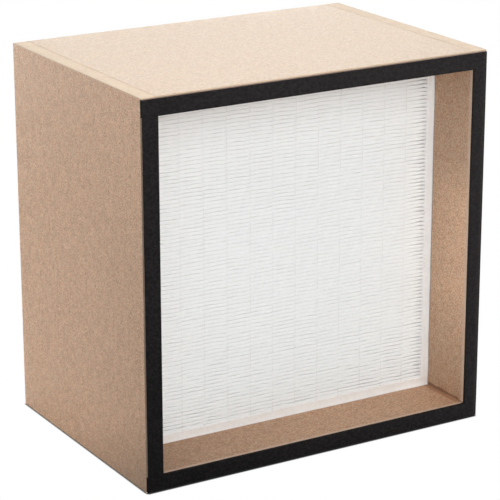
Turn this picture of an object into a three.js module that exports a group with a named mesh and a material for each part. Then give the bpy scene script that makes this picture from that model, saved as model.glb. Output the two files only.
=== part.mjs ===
// A box filter for air: a square wooden case, open front and back, with a pleated paper pack
// potted into its middle and a foam gasket round its front rim.
//
// Millimetres, +Z up. The origin is under the middle of the case, on the plane it stands on.
// The gasket side, where the filter seals, faces -Y, and +X is to the right seen from there.

import * as THREE from 'three';

// ---------------------------------------------------------------- driving dimensions

const FACE_WIDTH = 425;
const FACE_HEIGHT = 425;
const OVERALL_DEPTH = 298.5; // gasket included

const BOARD_THICKNESS = 18;

const GASKET_WIDTH = 17.6;
const GASKET_THICKNESS = 4;
const GASKET_INSET = 0.8; // from the outer faces of the case

const PACK_RECESS = 74.5; // from the gasket's sealing face back to the pleats
const PACK_DEPTH = 149.5;
const PLEAT_COUNT = 86;
const FOLD_WIDTH = 1.9; // flat at each pleat's tip
const PAPER_THICKNESS = 0.4;
const PAPER_CLEARANCE = 0.25; // under the first pleat and over the last one

const SIDE_POTTING_WIDTH = 9;
const END_POTTING_HEIGHT = 8.5;
const MENISCUS_RISE = 3.5; // how far the resin creeps along a board, out of its own surface
const MENISCUS_REACH = 4;

const BEAD_COUNT = 12; // separator lines on each face of the pack
const BEAD_SPACING = 28.75;
const BEAD_WIDTH = 2;
const BEAD_THICKNESS = 0.75;
const BEAD_END_GAP = 0.5;

const GLUE_ON_SIDE_BOARD = 6; // how far the squeezed-out glue covers each of the two boards
const GLUE_ON_LEVEL_BOARD = 5;
const GLUE_SETBACK = 8; // from the case's front or rear edge to the end of the glue
const GLUE_END_GAP = 0.5;

// ---------------------------------------------------------------- places that follow from them

const FRONT = -OVERALL_DEPTH / 2;
const REAR = OVERALL_DEPTH / 2;
const RIM = FRONT + GASKET_THICKNESS; // front edge of the boards

const HALF_WIDTH = FACE_WIDTH / 2;
const INNER_X = HALF_WIDTH - BOARD_THICKNESS;
const INNER_BOTTOM = BOARD_THICKNESS;
const INNER_TOP = FACE_HEIGHT - BOARD_THICKNESS;

const PACK_FRONT = FRONT + PACK_RECESS;
const PACK_REAR = PACK_FRONT + PACK_DEPTH;
const PAPER_HALF_WIDTH = INNER_X - SIDE_POTTING_WIDTH;
const PAPER_BOTTOM = INNER_BOTTOM + END_POTTING_HEIGHT + PAPER_CLEARANCE;
const PAPER_TOP = INNER_TOP - END_POTTING_HEIGHT - PAPER_CLEARANCE;

// ---------------------------------------------------------------- materials

function fibreboard() {
  return new THREE.MeshStandardMaterial({ color: 0xc49c7d, roughness: 0.85, metalness: 0 });
}

function gasketFoam() {
  return new THREE.MeshStandardMaterial({ color: 0x242122, roughness: 0.9, metalness: 0 });
}

function filterPaper() {
  return new THREE.MeshStandardMaterial({ color: 0xe9e8e5, roughness: 0.95, metalness: 0 });
}

function pottingResin() {
  return new THREE.MeshStandardMaterial({ color: 0xe6e0dc, roughness: 0.55, metalness: 0 });
}

function hotMelt() {
  return new THREE.MeshStandardMaterial({ color: 0xdcdad4, roughness: 0.4, metalness: 0 });
}

function woodGlue() {
  return new THREE.MeshStandardMaterial({ color: 0x8a5a38, roughness: 0.6, metalness: 0 });
}

// ---------------------------------------------------------------- helpers

const X_AXIS = new THREE.Vector3(1, 0, 0);
const Y_AXIS = new THREE.Vector3(0, 1, 0);
const Z_AXIS = new THREE.Vector3(0, 0, 1);

// A block between two corners, placed by its middle.
function block(name, material, low, high) {
  const size = high.map((value, i) => value - low[i]);
  const mesh = new THREE.Mesh(new THREE.BoxGeometry(...size), material);
  mesh.name = name;
  mesh.position.set(...high.map((value, i) => (value + low[i]) / 2));
  return mesh;
}

// A section drawn in the Y-Z plane and pushed along X, from start to end.
function extrudeAlongX(shape, start, end) {
  const geometry = new THREE.ExtrudeGeometry(shape, {
    depth: end - start,
    bevelEnabled: false,
    curveSegments: 6,
  });
  geometry.translate(0, 0, start);
  return geometry.applyMatrix4(new THREE.Matrix4().makeBasis(Y_AXIS, Z_AXIS, X_AXIS));
}

// A section drawn in the X-Y plane and pushed up Z, from start to end.
function extrudeAlongZ(shape, start, end) {
  const geometry = new THREE.ExtrudeGeometry(shape, {
    depth: end - start,
    bevelEnabled: false,
    curveSegments: 6,
  });
  return geometry.translate(0, 0, start);
}

// A section drawn in the X-Z plane and pushed along Y, from start to end.
function extrudeAlongY(shape, start, end) {
  const geometry = new THREE.ExtrudeGeometry(shape, {
    depth: end - start,
    bevelEnabled: false,
    curveSegments: 6,
  });
  geometry.translate(0, 0, -end);
  return geometry.applyMatrix4(new THREE.Matrix4().makeBasis(X_AXIS, Z_AXIS, Y_AXIS.clone().negate()));
}

function namedMesh(name, geometry, material) {
  const mesh = new THREE.Mesh(geometry, material);
  mesh.name = name;
  return mesh;
}

// ---------------------------------------------------------------- the case

// Side boards run the full height, and the top and bottom boards fit between them.
function caseBoards() {
  const group = new THREE.Group();
  group.add(
    block('left_board', fibreboard(), [-HALF_WIDTH, RIM, 0], [-INNER_X, REAR, FACE_HEIGHT]),
    block('right_board', fibreboard(), [INNER_X, RIM, 0], [HALF_WIDTH, REAR, FACE_HEIGHT]),
    block('top_board', fibreboard(), [-INNER_X, RIM, INNER_TOP], [INNER_X, REAR, FACE_HEIGHT]),
    block('bottom_board', fibreboard(), [-INNER_X, RIM, 0], [INNER_X, REAR, INNER_BOTTOM]),
  );
  return group;
}

// Glue that was squeezed out of each corner joint and set as a small hollow fillet.
function cornerGlue(name, sideX, sideZ, start, end) {
  const cornerX = sideX * INNER_X;
  const cornerZ = sideZ > 0 ? INNER_TOP : INNER_BOTTOM;
  const shape = new THREE.Shape();
  shape.moveTo(cornerX, cornerZ);
  shape.lineTo(cornerX - sideX * GLUE_ON_LEVEL_BOARD, cornerZ);
  shape.quadraticCurveTo(
    cornerX - sideX * GLUE_ON_LEVEL_BOARD * 0.2,
    cornerZ - sideZ * GLUE_ON_SIDE_BOARD * 0.2,
    cornerX,
    cornerZ - sideZ * GLUE_ON_SIDE_BOARD,
  );
  shape.closePath();
  return namedMesh(name, extrudeAlongY(shape, start, end), woodGlue());
}

function allCornerGlue() {
  const group = new THREE.Group();
  const frontStart = RIM + GLUE_SETBACK;
  const frontEnd = PACK_FRONT - MENISCUS_RISE - GLUE_END_GAP;
  const rearStart = PACK_REAR + MENISCUS_RISE + GLUE_END_GAP;
  const rearEnd = REAR - GLUE_SETBACK;
  for (const [side, sideX] of [['left', -1], ['right', 1]]) {
    for (const [level, sideZ] of [['top', 1], ['bottom', -1]]) {
      group.add(cornerGlue(`front_glue_${level}_${side}`, sideX, sideZ, frontStart, frontEnd));
      group.add(cornerGlue(`rear_glue_${level}_${side}`, sideX, sideZ, rearStart, rearEnd));
    }
  }
  return group;
}

// ---------------------------------------------------------------- the gasket

// Four foam strips on the front edge of the boards, butted at the corners.
function gasket() {
  const group = new THREE.Group();
  const low = GASKET_INSET;
  const high = FACE_HEIGHT - GASKET_INSET;
  const lowJoint = low + GASKET_WIDTH;
  const highJoint = high - GASKET_WIDTH;
  const outerX = HALF_WIDTH - GASKET_INSET;
  const innerX = outerX - GASKET_WIDTH;
  group.add(
    block('gasket_bottom', gasketFoam(), [-outerX, FRONT, low], [outerX, RIM, lowJoint]),
    block('gasket_top', gasketFoam(), [-outerX, FRONT, highJoint], [outerX, RIM, high]),
    block('gasket_left', gasketFoam(), [-outerX, FRONT, lowJoint], [-innerX, RIM, highJoint]),
    block('gasket_right', gasketFoam(), [innerX, FRONT, lowJoint], [outerX, RIM, highJoint]),
  );
  return group;
}

// ---------------------------------------------------------------- the pleated pack

// The middle line of the folded paper, as [depth, height] points from the lowest pleat up.
function pleatLine() {
  const pitch = (PAPER_TOP - PAPER_BOTTOM) / PLEAT_COUNT;
  const front = PACK_FRONT + PAPER_THICKNESS / 2;
  const rear = PACK_REAR - PAPER_THICKNESS / 2;
  const halfFold = FOLD_WIDTH / 2;
  const points = [[rear, PAPER_BOTTOM + PAPER_THICKNESS / 2]];
  for (let i = 0; i < PLEAT_COUNT; i += 1) {
    const tip = PAPER_BOTTOM + (i + 0.5) * pitch;
    const root = PAPER_BOTTOM + (i + 1) * pitch;
    points.push([front, tip - halfFold], [front, tip + halfFold]);
    if (i < PLEAT_COUNT - 1) {
      points.push([rear, root - halfFold], [rear, root + halfFold]);
    }
  }
  points.push([rear, PAPER_TOP - PAPER_THICKNESS / 2]);
  return points.map(([y, z]) => new THREE.Vector2(y, z));
}

// The line moved sideways by a distance, with mitred corners.
function offsetLine(points, distance) {
  const normals = [];
  for (let i = 0; i + 1 < points.length; i += 1) {
    const along = points[i + 1].clone().sub(points[i]).normalize();
    normals.push(new THREE.Vector2(-along.y, along.x));
  }
  return points.map((point, i) => {
    const before = normals[Math.max(i - 1, 0)];
    const after = normals[Math.min(i, normals.length - 1)];
    const mitre = before.clone().add(after);
    const scale = (2 * distance) / mitre.lengthSq();
    return point.clone().add(mitre.multiplyScalar(scale));
  });
}

function pleatedPaper() {
  const line = pleatLine();
  const upper = offsetLine(line, PAPER_THICKNESS / 2);
  const lower = offsetLine(line, -PAPER_THICKNESS / 2);
  const shape = new THREE.Shape([...upper, ...lower.reverse()]);
  const geometry = extrudeAlongX(shape, -PAPER_HALF_WIDTH, PAPER_HALF_WIDTH);
  return namedMesh('pleated_paper', geometry, filterPaper());
}

// Lines of hot-melt glue that hold the pleats apart, seen as ribs across the tips.
function separatorBeads() {
  const group = new THREE.Group();
  const bottom = INNER_BOTTOM + END_POTTING_HEIGHT + BEAD_END_GAP;
  const top = INNER_TOP - END_POTTING_HEIGHT - BEAD_END_GAP;
  const faces = [
    ['front', PACK_FRONT - BEAD_THICKNESS, PACK_FRONT],
    ['rear', PACK_REAR, PACK_REAR + BEAD_THICKNESS],
  ];
  for (const [face, near, far] of faces) {
    for (let i = 0; i < BEAD_COUNT; i += 1) {
      const x = (i - (BEAD_COUNT - 1) / 2) * BEAD_SPACING;
      const low = [x - BEAD_WIDTH / 2, near, bottom];
      const high = [x + BEAD_WIDTH / 2, far, top];
      const number = String(i + 1).padStart(2, '0');
      group.add(block(`${face}_separator_${number}`, hotMelt(), low, high));
    }
  }
  return group;
}

// ---------------------------------------------------------------- the potting

// The resin's section across one side: flat between the faces of the pack, with a curved
// edge front and rear where it wets the board. The board is at wall, the paper at inner.
function pottingSection(wall, inner, swap) {
  const towards = Math.sign(inner - wall);
  const point = (across, depth) => (swap ? [depth, across] : [across, depth]);
  const shape = new THREE.Shape();
  shape.moveTo(...point(wall, PACK_FRONT - MENISCUS_RISE));
  shape.quadraticCurveTo(
    ...point(wall + towards * MENISCUS_REACH * 0.2, PACK_FRONT - MENISCUS_RISE * 0.1),
    ...point(wall + towards * MENISCUS_REACH, PACK_FRONT),
  );
  shape.lineTo(...point(inner, PACK_FRONT));
  shape.lineTo(...point(inner, PACK_REAR));
  shape.lineTo(...point(wall + towards * MENISCUS_REACH, PACK_REAR));
  shape.quadraticCurveTo(
    ...point(wall + towards * MENISCUS_REACH * 0.2, PACK_REAR + MENISCUS_RISE * 0.1),
    ...point(wall, PACK_REAR + MENISCUS_RISE),
  );
  shape.closePath();
  return shape;
}

// The side castings run the full inner height, the top and bottom ones lie between them.
function potting() {
  const group = new THREE.Group();
  for (const [name, side] of [['potting_left', -1], ['potting_right', 1]]) {
    const shape = pottingSection(side * INNER_X, side * PAPER_HALF_WIDTH, false);
    group.add(namedMesh(name, extrudeAlongZ(shape, INNER_BOTTOM, INNER_TOP), pottingResin()));
  }
  const ends = [
    ['potting_bottom', INNER_BOTTOM, INNER_BOTTOM + END_POTTING_HEIGHT],
    ['potting_top', INNER_TOP, INNER_TOP - END_POTTING_HEIGHT],
  ];
  for (const [name, wall, inner] of ends) {
    const shape = pottingSection(wall, inner, true);
    const geometry = extrudeAlongX(shape, -PAPER_HALF_WIDTH, PAPER_HALF_WIDTH);
    group.add(namedMesh(name, geometry, pottingResin()));
  }
  return group;
}

// ---------------------------------------------------------------- the whole filter

const filter = new THREE.Group();
filter.add(caseBoards(), allCornerGlue(), gasket(), pleatedPaper(), separatorBeads(), potting());

export default filter;
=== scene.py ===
"""A square box air filter: fibreboard case, foam gasket and a potted, pleated paper pack.

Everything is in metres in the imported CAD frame: +Z up, the gasket side faces -Y.
"""

import math

import bmesh
import bpy
import numpy as np
from mathutils import Euler, Matrix, Vector


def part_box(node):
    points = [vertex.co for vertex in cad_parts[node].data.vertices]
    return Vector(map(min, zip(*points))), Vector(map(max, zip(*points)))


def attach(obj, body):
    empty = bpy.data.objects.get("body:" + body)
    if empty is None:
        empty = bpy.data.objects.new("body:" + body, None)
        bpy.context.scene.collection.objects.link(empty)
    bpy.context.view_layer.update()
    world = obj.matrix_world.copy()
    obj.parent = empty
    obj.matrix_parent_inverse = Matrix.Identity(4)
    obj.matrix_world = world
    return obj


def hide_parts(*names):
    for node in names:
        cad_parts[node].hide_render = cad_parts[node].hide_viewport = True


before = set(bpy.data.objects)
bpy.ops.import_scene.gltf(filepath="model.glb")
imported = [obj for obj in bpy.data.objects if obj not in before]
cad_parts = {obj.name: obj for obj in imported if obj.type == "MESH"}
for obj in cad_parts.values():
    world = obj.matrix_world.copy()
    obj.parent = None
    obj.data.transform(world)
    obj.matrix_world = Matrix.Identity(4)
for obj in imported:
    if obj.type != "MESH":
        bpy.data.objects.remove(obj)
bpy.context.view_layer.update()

MM = 0.001

# ---- places, read from the frame

LEFT_LOW, LEFT_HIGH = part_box("left_board")
RIGHT_LOW, RIGHT_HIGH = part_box("right_board")
TOP_LOW, TOP_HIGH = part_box("top_board")
BOTTOM_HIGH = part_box("bottom_board")[1]
PAPER_LOW, PAPER_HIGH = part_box("pleated_paper")
GASKET_LOW, GASKET_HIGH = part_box("gasket_top")

INNER_X = RIGHT_LOW.x
INNER_BOTTOM = BOTTOM_HIGH.z
INNER_TOP = TOP_LOW.z
RIM_Y = LEFT_LOW.y
REAR_Y = LEFT_HIGH.y
PACK_FRONT = PAPER_LOW.y
PACK_REAR = PAPER_HIGH.y

FRONT_BEADS = [node for node in sorted(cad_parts) if node.startswith("front_separator")]
BEAD_X = [(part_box(node)[0].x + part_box(node)[1].x) / 2 for node in FRONT_BEADS]
BEAD_SPACING = BEAD_X[1] - BEAD_X[0]

PLEAT_COUNT = 86
PITCH = (PAPER_HIGH.z - PAPER_LOW.z) / PLEAT_COUNT

# ---- mesh helpers


def mesh_object(name, vertices, faces, material, smooth=True):
    """A mesh object of one material, linked to the scene."""
    mesh = bpy.data.meshes.new(name)
    mesh.from_pydata(np.asarray(vertices).tolist(), [], faces)
    mesh.materials.append(material)
    mesh.polygons.foreach_set("use_smooth", [smooth] * len(mesh.polygons))
    mesh.update()
    obj = bpy.data.objects.new(name, mesh)
    bpy.context.scene.collection.objects.link(obj)
    return obj


def settle(obj, node):
    """The piece rides on the one body and stands for this CAD node, which is hidden."""
    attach(obj, "root")
    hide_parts(node)


def value_noise(seed, positions, spacing):
    """Smooth random numbers from -1 to 1 along a line, with a new random value every spacing."""
    positions = np.asarray(positions, float)
    start = positions.min() - spacing
    count = int((positions.max() - start) / spacing) + 4
    values = np.random.default_rng(seed).uniform(-1, 1, count)
    place = (positions - start) / spacing
    index = np.floor(place).astype(int)
    part = place - index
    part = part * part * (3 - 2 * part)
    return values[index] * (1 - part) + values[index + 1] * part


def tube_faces(rows, columns):
    """Quads over a rows by columns grid of vertices, row by row, whose last row joins its first."""
    row = np.arange(rows)[:, None]
    column = np.arange(columns - 1)[None, :]
    here = row * columns + column
    beyond = ((row + 1) % rows) * columns + column
    return np.stack([here, beyond, beyond + 1, here + 1], -1).reshape(-1, 4).tolist()


def bar_object(name, rows, material, flipped=False):
    """A closed bar: rows of points running along it, joined all round, and a face at each end."""
    around, along = len(rows), len(rows[0])
    first = [k * along for k in range(around)]
    last = [k * along + along - 1 for k in reversed(range(around))]
    faces = tube_faces(around, along) + [first, last]
    if flipped:
        faces = [face[::-1] for face in faces]
    return mesh_object(name, np.concatenate(rows), faces, material)


def face_outwards(obj):
    """Turns every face of a closed piece outwards."""
    bm = bmesh.new()
    bm.from_mesh(obj.data)
    bmesh.ops.recalc_face_normals(bm, faces=bm.faces[:])
    bm.to_mesh(obj.data)
    bm.free()


# ---- material helpers


def new_material(name):
    """A new material, its node tree and its surface shader."""
    material = bpy.data.materials.new(name)
    material.use_nodes = True
    tree = material.node_tree
    return material, tree, tree.nodes["Principled BSDF"]


def add_node(tree, kind, **settings):
    """A node with its properties and unlinked inputs set by name; an input that is a socket is linked."""
    node = tree.nodes.new(kind)
    for key, value in settings.items():
        if hasattr(node, key) and key not in node.inputs:
            setattr(node, key, value)
            continue
        socket = node.inputs[key]
        if isinstance(value, bpy.types.NodeSocket):
            tree.links.new(value, socket)
        else:
            socket.default_value = value
    return node


def coordinates(tree, scale=(1, 1, 1), rotation=(0, 0, 0)):
    """Positions in metres on the object, stretched by scale and then turned."""
    source = tree.nodes.new("ShaderNodeTexCoord").outputs["Object"]
    mapping = tree.nodes.new("ShaderNodeMapping")
    mapping.inputs["Scale"].default_value = scale
    mapping.inputs["Rotation"].default_value = rotation
    tree.links.new(source, mapping.inputs["Vector"])
    return mapping.outputs["Vector"]


def position(tree):
    """X, Y and Z in metres on the object, as three sockets."""
    source = tree.nodes.new("ShaderNodeTexCoord").outputs["Object"]
    parts = add_node(tree, "ShaderNodeSeparateXYZ", Vector=source)
    return parts.outputs["X"], parts.outputs["Y"], parts.outputs["Z"]


def noise(tree, vector, scale, detail, roughness=0.5):
    """Noise from 0 to 1: scale features to each unit of vector, with detail finer octaves."""
    node = tree.nodes.new("ShaderNodeTexNoise")
    node.inputs["Scale"].default_value = scale
    node.inputs["Detail"].default_value = detail
    node.inputs["Roughness"].default_value = roughness
    tree.links.new(vector, node.inputs["Vector"])
    return node.outputs["Fac"]


def ramp(tree, value, stops):
    """A value turned into a grey: stops are (value, grey), with an even change between them."""
    node = tree.nodes.new("ShaderNodeValToRGB")
    elements = node.color_ramp.elements
    while len(elements) < len(stops):
        elements.new(0.5)
    for element, (place, grey) in zip(elements, stops):
        element.position = place
        element.color = (grey, grey, grey, 1)
    tree.links.new(value, node.inputs["Fac"])
    return node.outputs["Color"]


# A Mix node has sockets for each kind of value: these are its factor and colours.
MIX_FACTOR, MIX_FIRST, MIX_SECOND = 0, 6, 7
MIX_RESULT = 2


def mix(tree, factor, first, second, blend="MIX"):
    """first and second are sockets or colours; factor is a socket or a number."""
    node = tree.nodes.new("ShaderNodeMix")
    node.data_type = "RGBA"
    node.blend_type = blend
    for index, value in ((MIX_FACTOR, factor), (MIX_FIRST, first), (MIX_SECOND, second)):
        if isinstance(value, bpy.types.NodeSocket):
            tree.links.new(value, node.inputs[index])
        elif isinstance(value, (int, float)):
            node.inputs[index].default_value = value
        else:
            node.inputs[index].default_value = (*value, 1)
    return node.outputs[MIX_RESULT]


def tinted(tree, colour, tints):
    """The colour with each (mask, tint) laid over it in turn."""
    for mask, tint in tints:
        colour = mix(tree, mask, colour, tint)
    return colour


def maths(tree, operation, first, second=0.0):
    """first and second are sockets or numbers."""
    node = tree.nodes.new("ShaderNodeMath")
    node.operation = operation
    for socket, value in zip(node.inputs, (first, second)):
        if isinstance(value, bpy.types.NodeSocket):
            tree.links.new(value, socket)
        else:
            socket.default_value = value
    return node.outputs[0]


def product(tree, *factors):
    """Sockets or numbers multiplied together."""
    result = factors[0]
    for factor in factors[1:]:
        result = maths(tree, "MULTIPLY", result, factor)
    return result


def part_of(tree, value, start, length):
    """How far a coordinate is past start, as a part of length."""
    return maths(tree, "DIVIDE", maths(tree, "SUBTRACT", value, start), length)


def away_from(tree, value, place):
    """How far a coordinate is from a place, either way."""
    return maths(tree, "ABSOLUTE", maths(tree, "SUBTRACT", value, place))


def bump(tree, shader, layers):
    """Bump from several layers: each is (height socket, depth in metres)."""
    normal = None
    for height, distance in layers:
        node = tree.nodes.new("ShaderNodeBump")
        node.inputs["Distance"].default_value = distance
        node.inputs["Strength"].default_value = 1.0
        tree.links.new(height, node.inputs["Height"])
        if normal is not None:
            tree.links.new(normal, node.inputs["Normal"])
        normal = node.outputs["Normal"]
    tree.links.new(normal, shader.inputs["Normal"])


# ---- materials

ON_FACE = 1 * MM  # how close to a face's plane counts as on it
SOAK_REACH = 8 * MM
PALE_REACH = 6 * MM
FALLING = [(0.0, 1.0), (1.0, 0.0)]


def board_areas(tree):
    """Masks over the boards: all their inner faces, the lower inner face, where glue has soaked into that
    one beside its corners, the inner faces just behind the gasket, and the top of the case."""
    x, y, z = position(tree)
    middle_z = (INNER_TOP + INNER_BOTTOM) / 2
    off_x = maths(tree, "ABSOLUTE", x)
    inside_x = maths(tree, "LESS_THAN", off_x, INNER_X + ON_FACE)
    inside_z = maths(tree, "LESS_THAN", away_from(tree, z, middle_z), INNER_TOP - middle_z + ON_FACE)
    inside = product(tree, inside_x, inside_z)
    low = maths(tree, "LESS_THAN", z, INNER_BOTTOM + ON_FACE / 2)
    level = product(tree, inside, low)
    by_side = maths(tree, "DIVIDE", maths(tree, "SUBTRACT", INNER_X, off_x), SOAK_REACH)
    soaked = product(tree, ramp(tree, by_side, [(0.6, 0.7), (1.0, 0.0)]), level)
    near = maths(tree, "SUBTRACT", 1.0, part_of(tree, y, RIM_Y, PALE_REACH))
    behind_gasket = product(tree, ramp(tree, near, [(0.0, 0.0), (0.5, 1.0)]), inside)
    top = maths(tree, "GREATER_THAN", z, TOP_HIGH.z - ON_FACE)
    return inside, level, soaked, behind_gasket, top


# Painted light and shade on the boards, as factors on their colour.
LEFT_FACE_PAINTED_LIGHT = 0.045
LOW_CORNER_PAINTED_SHADE = 0.4
CORNER_DEEP = 200 * MM
CORNER_HIGH = 90 * MM
FRONT_EDGE_PAINTED_SHADE = 0.1
FRONT_DEEP = 130 * MM
RIGHT_WALL_PAINTED_LIGHT = 0.42
SILL_LEFTWARD_PAINTED_SHADE = 0.22


def left_face_painted_light(tree):
    """The case's left face: painted light makes it paler, and painted shade darkens its lower front
    corner and the strip beside its front edge.
    """
    x, y, z = position(tree)
    on_face = maths(tree, "LESS_THAN", x, ON_FACE - RIGHT_HIGH.x)
    behind = part_of(tree, y, RIM_Y, CORNER_DEEP)
    from_corner = maths(tree, "ADD", behind, part_of(tree, z, 0, CORNER_HIGH))
    corner = product(tree, ramp(tree, from_corner, FALLING), LOW_CORNER_PAINTED_SHADE)
    beside_front = ramp(tree, part_of(tree, y, RIM_Y, FRONT_DEEP), FALLING)
    lower_half = ramp(tree, part_of(tree, z, 0, TOP_HIGH.z), [(0.55, 1.0), (0.8, 0.0)])
    front = product(tree, beside_front, lower_half, FRONT_EDGE_PAINTED_SHADE)
    paler = maths(tree, "SUBTRACT", maths(tree, "SUBTRACT", LEFT_FACE_PAINTED_LIGHT, corner), front)
    return maths(tree, "ADD", 1.0, product(tree, paler, on_face))


def right_wall_painted_light(tree):
    """The right inner face: a painted pool of light half way up, strongest at the front."""
    x, y, z = position(tree)
    on_face = maths(tree, "LESS_THAN", away_from(tree, x, INNER_X), ON_FACE)
    height = part_of(tree, z, 0, TOP_HIGH.z)
    half_way = ramp(tree, height, [(0.15, 0.0), (0.35, 1.0), (0.58, 1.0), (0.7, 0.0)])
    forwards = ramp(tree, part_of(tree, y, RIM_Y, PACK_FRONT - RIM_Y), [(0.0, 1.0), (1.0, 0.35)])
    return maths(tree, "ADD", 1.0, product(tree, half_way, forwards, on_face, RIGHT_WALL_PAINTED_LIGHT))


def sill_painted_shade(tree):
    """The lower inner face: painted shade darkens it towards the left."""
    x, _, z = position(tree)
    on_face = maths(tree, "LESS_THAN", away_from(tree, z, INNER_BOTTOM), ON_FACE)
    between = maths(tree, "LESS_THAN", maths(tree, "ABSOLUTE", x), INNER_X + ON_FACE)
    leftward = ramp(tree, part_of(tree, x, -INNER_X, 2 * INNER_X), [(0.0, 1.0), (0.6, 0.0)])
    return maths(tree, "SUBTRACT", 1.0, product(tree, leftward, on_face, between, SILL_LEFTWARD_PAINTED_SHADE))


def painted_board_light(tree):
    """Painted light and shade over the boards, as a slow factor on their colour."""
    return product(tree, left_face_painted_light(tree), right_wall_painted_light(tree), sill_painted_shade(tree))


# Colours are linear red, green and blue.
TAN = (0.71, 0.445, 0.284)
PALE_TAN = (0.8, 0.506, 0.325)
WARM_TAN = (0.875, 0.562, 0.37)
DARK_PATCH = (0.58, 0.352, 0.212)
LIGHT_PATCH = (0.95, 0.64, 0.445)
DULL_BLOTCH = (0.68, 0.452, 0.31)
WARM_BLOTCH = (0.9, 0.575, 0.37)
DARK_SPECKLE = (0.58, 0.24, 0.11)
LIGHT_SPECKLE = (0.9, 0.76, 0.56)
DARK_FIBRE = (0.433, 0.252, 0.155)
LIGHT_FIBRE = (0.891, 0.607, 0.416)
BARK = (0.305, 0.164, 0.091)
# Painted shade: the inner faces are painted darker, and the lower inner face darker still.
INSIDE_PAINTED_SHADE = (0.7, 0.69, 0.675)
LOWER_INSIDE_PAINTED_SHADE = (0.95, 0.895, 0.842)
SOAKED_GLUE = (0.34, 0.165, 0.085)
# Painted sheen: the top of the case is painted paler and less orange.
TOP_PAINTED_SHEEN = (0.65, 0.552, 0.428)
PALE_RIM = (0.66, 0.5, 0.39)
CORNER_PAINTED_SHADE = (0.12, 0.075, 0.05)


def board_marks_and_painted_light(tree, colour, mottle):
    """What differs from place to place on the boards: glue soaked into the lower inner face, a paler rim
    behind the gasket, and painted light and shade: darker inner faces, a painted sheen on the top,
    painted shade in the corners and the factor of painted_board_light.
    """
    inside, level, soaked, behind_gasket, top = board_areas(tree)
    colour = mix(tree, inside, colour, INSIDE_PAINTED_SHADE, "MULTIPLY")
    colour = mix(tree, level, colour, LOWER_INSIDE_PAINTED_SHADE, "MULTIPLY")
    colour = tinted(tree, colour, [(soaked, SOAKED_GLUE), (product(tree, top, 0.6), TOP_PAINTED_SHEEN)])
    colour = mix(tree, 1.0, colour, painted_board_light(tree), "MULTIPLY")
    pale = product(tree, behind_gasket, ramp(tree, mottle, [(0.2, 0.25), (0.7, 0.8)]))
    # Painted shade in the corners: darker where ambient occlusion finds something close.
    corner = add_node(tree, "ShaderNodeAmbientOcclusion", samples=8, Distance=2.5 * MM)
    painted_corner_shade = ramp(tree, corner.outputs["AO"], [(0.45, 0.75), (0.85, 0.0)])
    return tinted(tree, colour, [(pale, PALE_RIM), (painted_corner_shade, CORNER_PAINTED_SHADE)])


def fibreboard_face(name, streaks):
    """The pressed face of a board: tan, mottled, with fine fibres, streaked speckle and dark bark specks.

    streaks is how fine the speckle is along each axis: it is drawn out along the board."""
    material, tree, shader = new_material(name)
    plain = coordinates(tree)
    mottle = noise(tree, plain, 110, 5, 0.65)
    blotches = noise(tree, plain, 80, 2, 0.5)
    specks = noise(tree, plain, 700, 2, 0.5)
    speckle = noise(tree, coordinates(tree, streaks), 1, 2, 0.55)
    patches = noise(tree, coordinates(tree, tuple(s / 4 for s in streaks)), 1, 3, 0.6)
    fibres = noise(tree, coordinates(tree, (260, 900, 420), (0.3, 0.5, 0.9)), 1, 3, 0.6)
    pale_fibres = noise(tree, coordinates(tree, (900, 300, 700), (0.848, 0.2, 0.38)), 1, 3, 0.6)
    colour = mix(tree, noise(tree, plain, 9, 3), TAN, PALE_TAN)
    tints = [
        (ramp(tree, mottle, [(0.34, 0.0), (0.66, 1.0)]), WARM_TAN),
        (ramp(tree, patches, [(0.3, 0.8), (0.5, 0.0)]), DARK_PATCH),
        (ramp(tree, patches, [(0.5, 0.0), (0.7, 0.8)]), LIGHT_PATCH),
        (ramp(tree, blotches, [(0.34, 0.3), (0.5, 0.0)]), DULL_BLOTCH),
        (ramp(tree, blotches, [(0.5, 0.0), (0.66, 0.3)]), WARM_BLOTCH),
        (ramp(tree, speckle, [(0.3, 1.0), (0.5, 0.0)]), DARK_SPECKLE),
        (ramp(tree, speckle, [(0.5, 0.0), (0.7, 1.0)]), LIGHT_SPECKLE),
        (ramp(tree, fibres, [(0.52, 0.0), (0.7, 0.7)]), DARK_FIBRE),
        (ramp(tree, pale_fibres, [(0.54, 0.0), (0.72, 0.7)]), LIGHT_FIBRE),
        (ramp(tree, specks, [(0.66, 0.0), (0.74, 0.9)]), BARK),
    ]
    colour = board_marks_and_painted_light(tree, tinted(tree, colour, tints), mottle)
    tree.links.new(colour, shader.inputs["Base Color"])
    tree.links.new(ramp(tree, mottle, [(0.3, 0.5), (0.7, 0.66)]), shader.inputs["Roughness"])
    bump(tree, shader, [(fibres, 0.05 * MM), (speckle, 0.05 * MM)])
    return material


EDGE_DENSE = (0.69, 0.502, 0.35)
EDGE_MIDDLE = (0.82, 0.655, 0.49)
EDGE_GRAIN = (0.6, 0.434, 0.298)
EDGE_PALE = (0.92, 0.76, 0.58)


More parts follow.
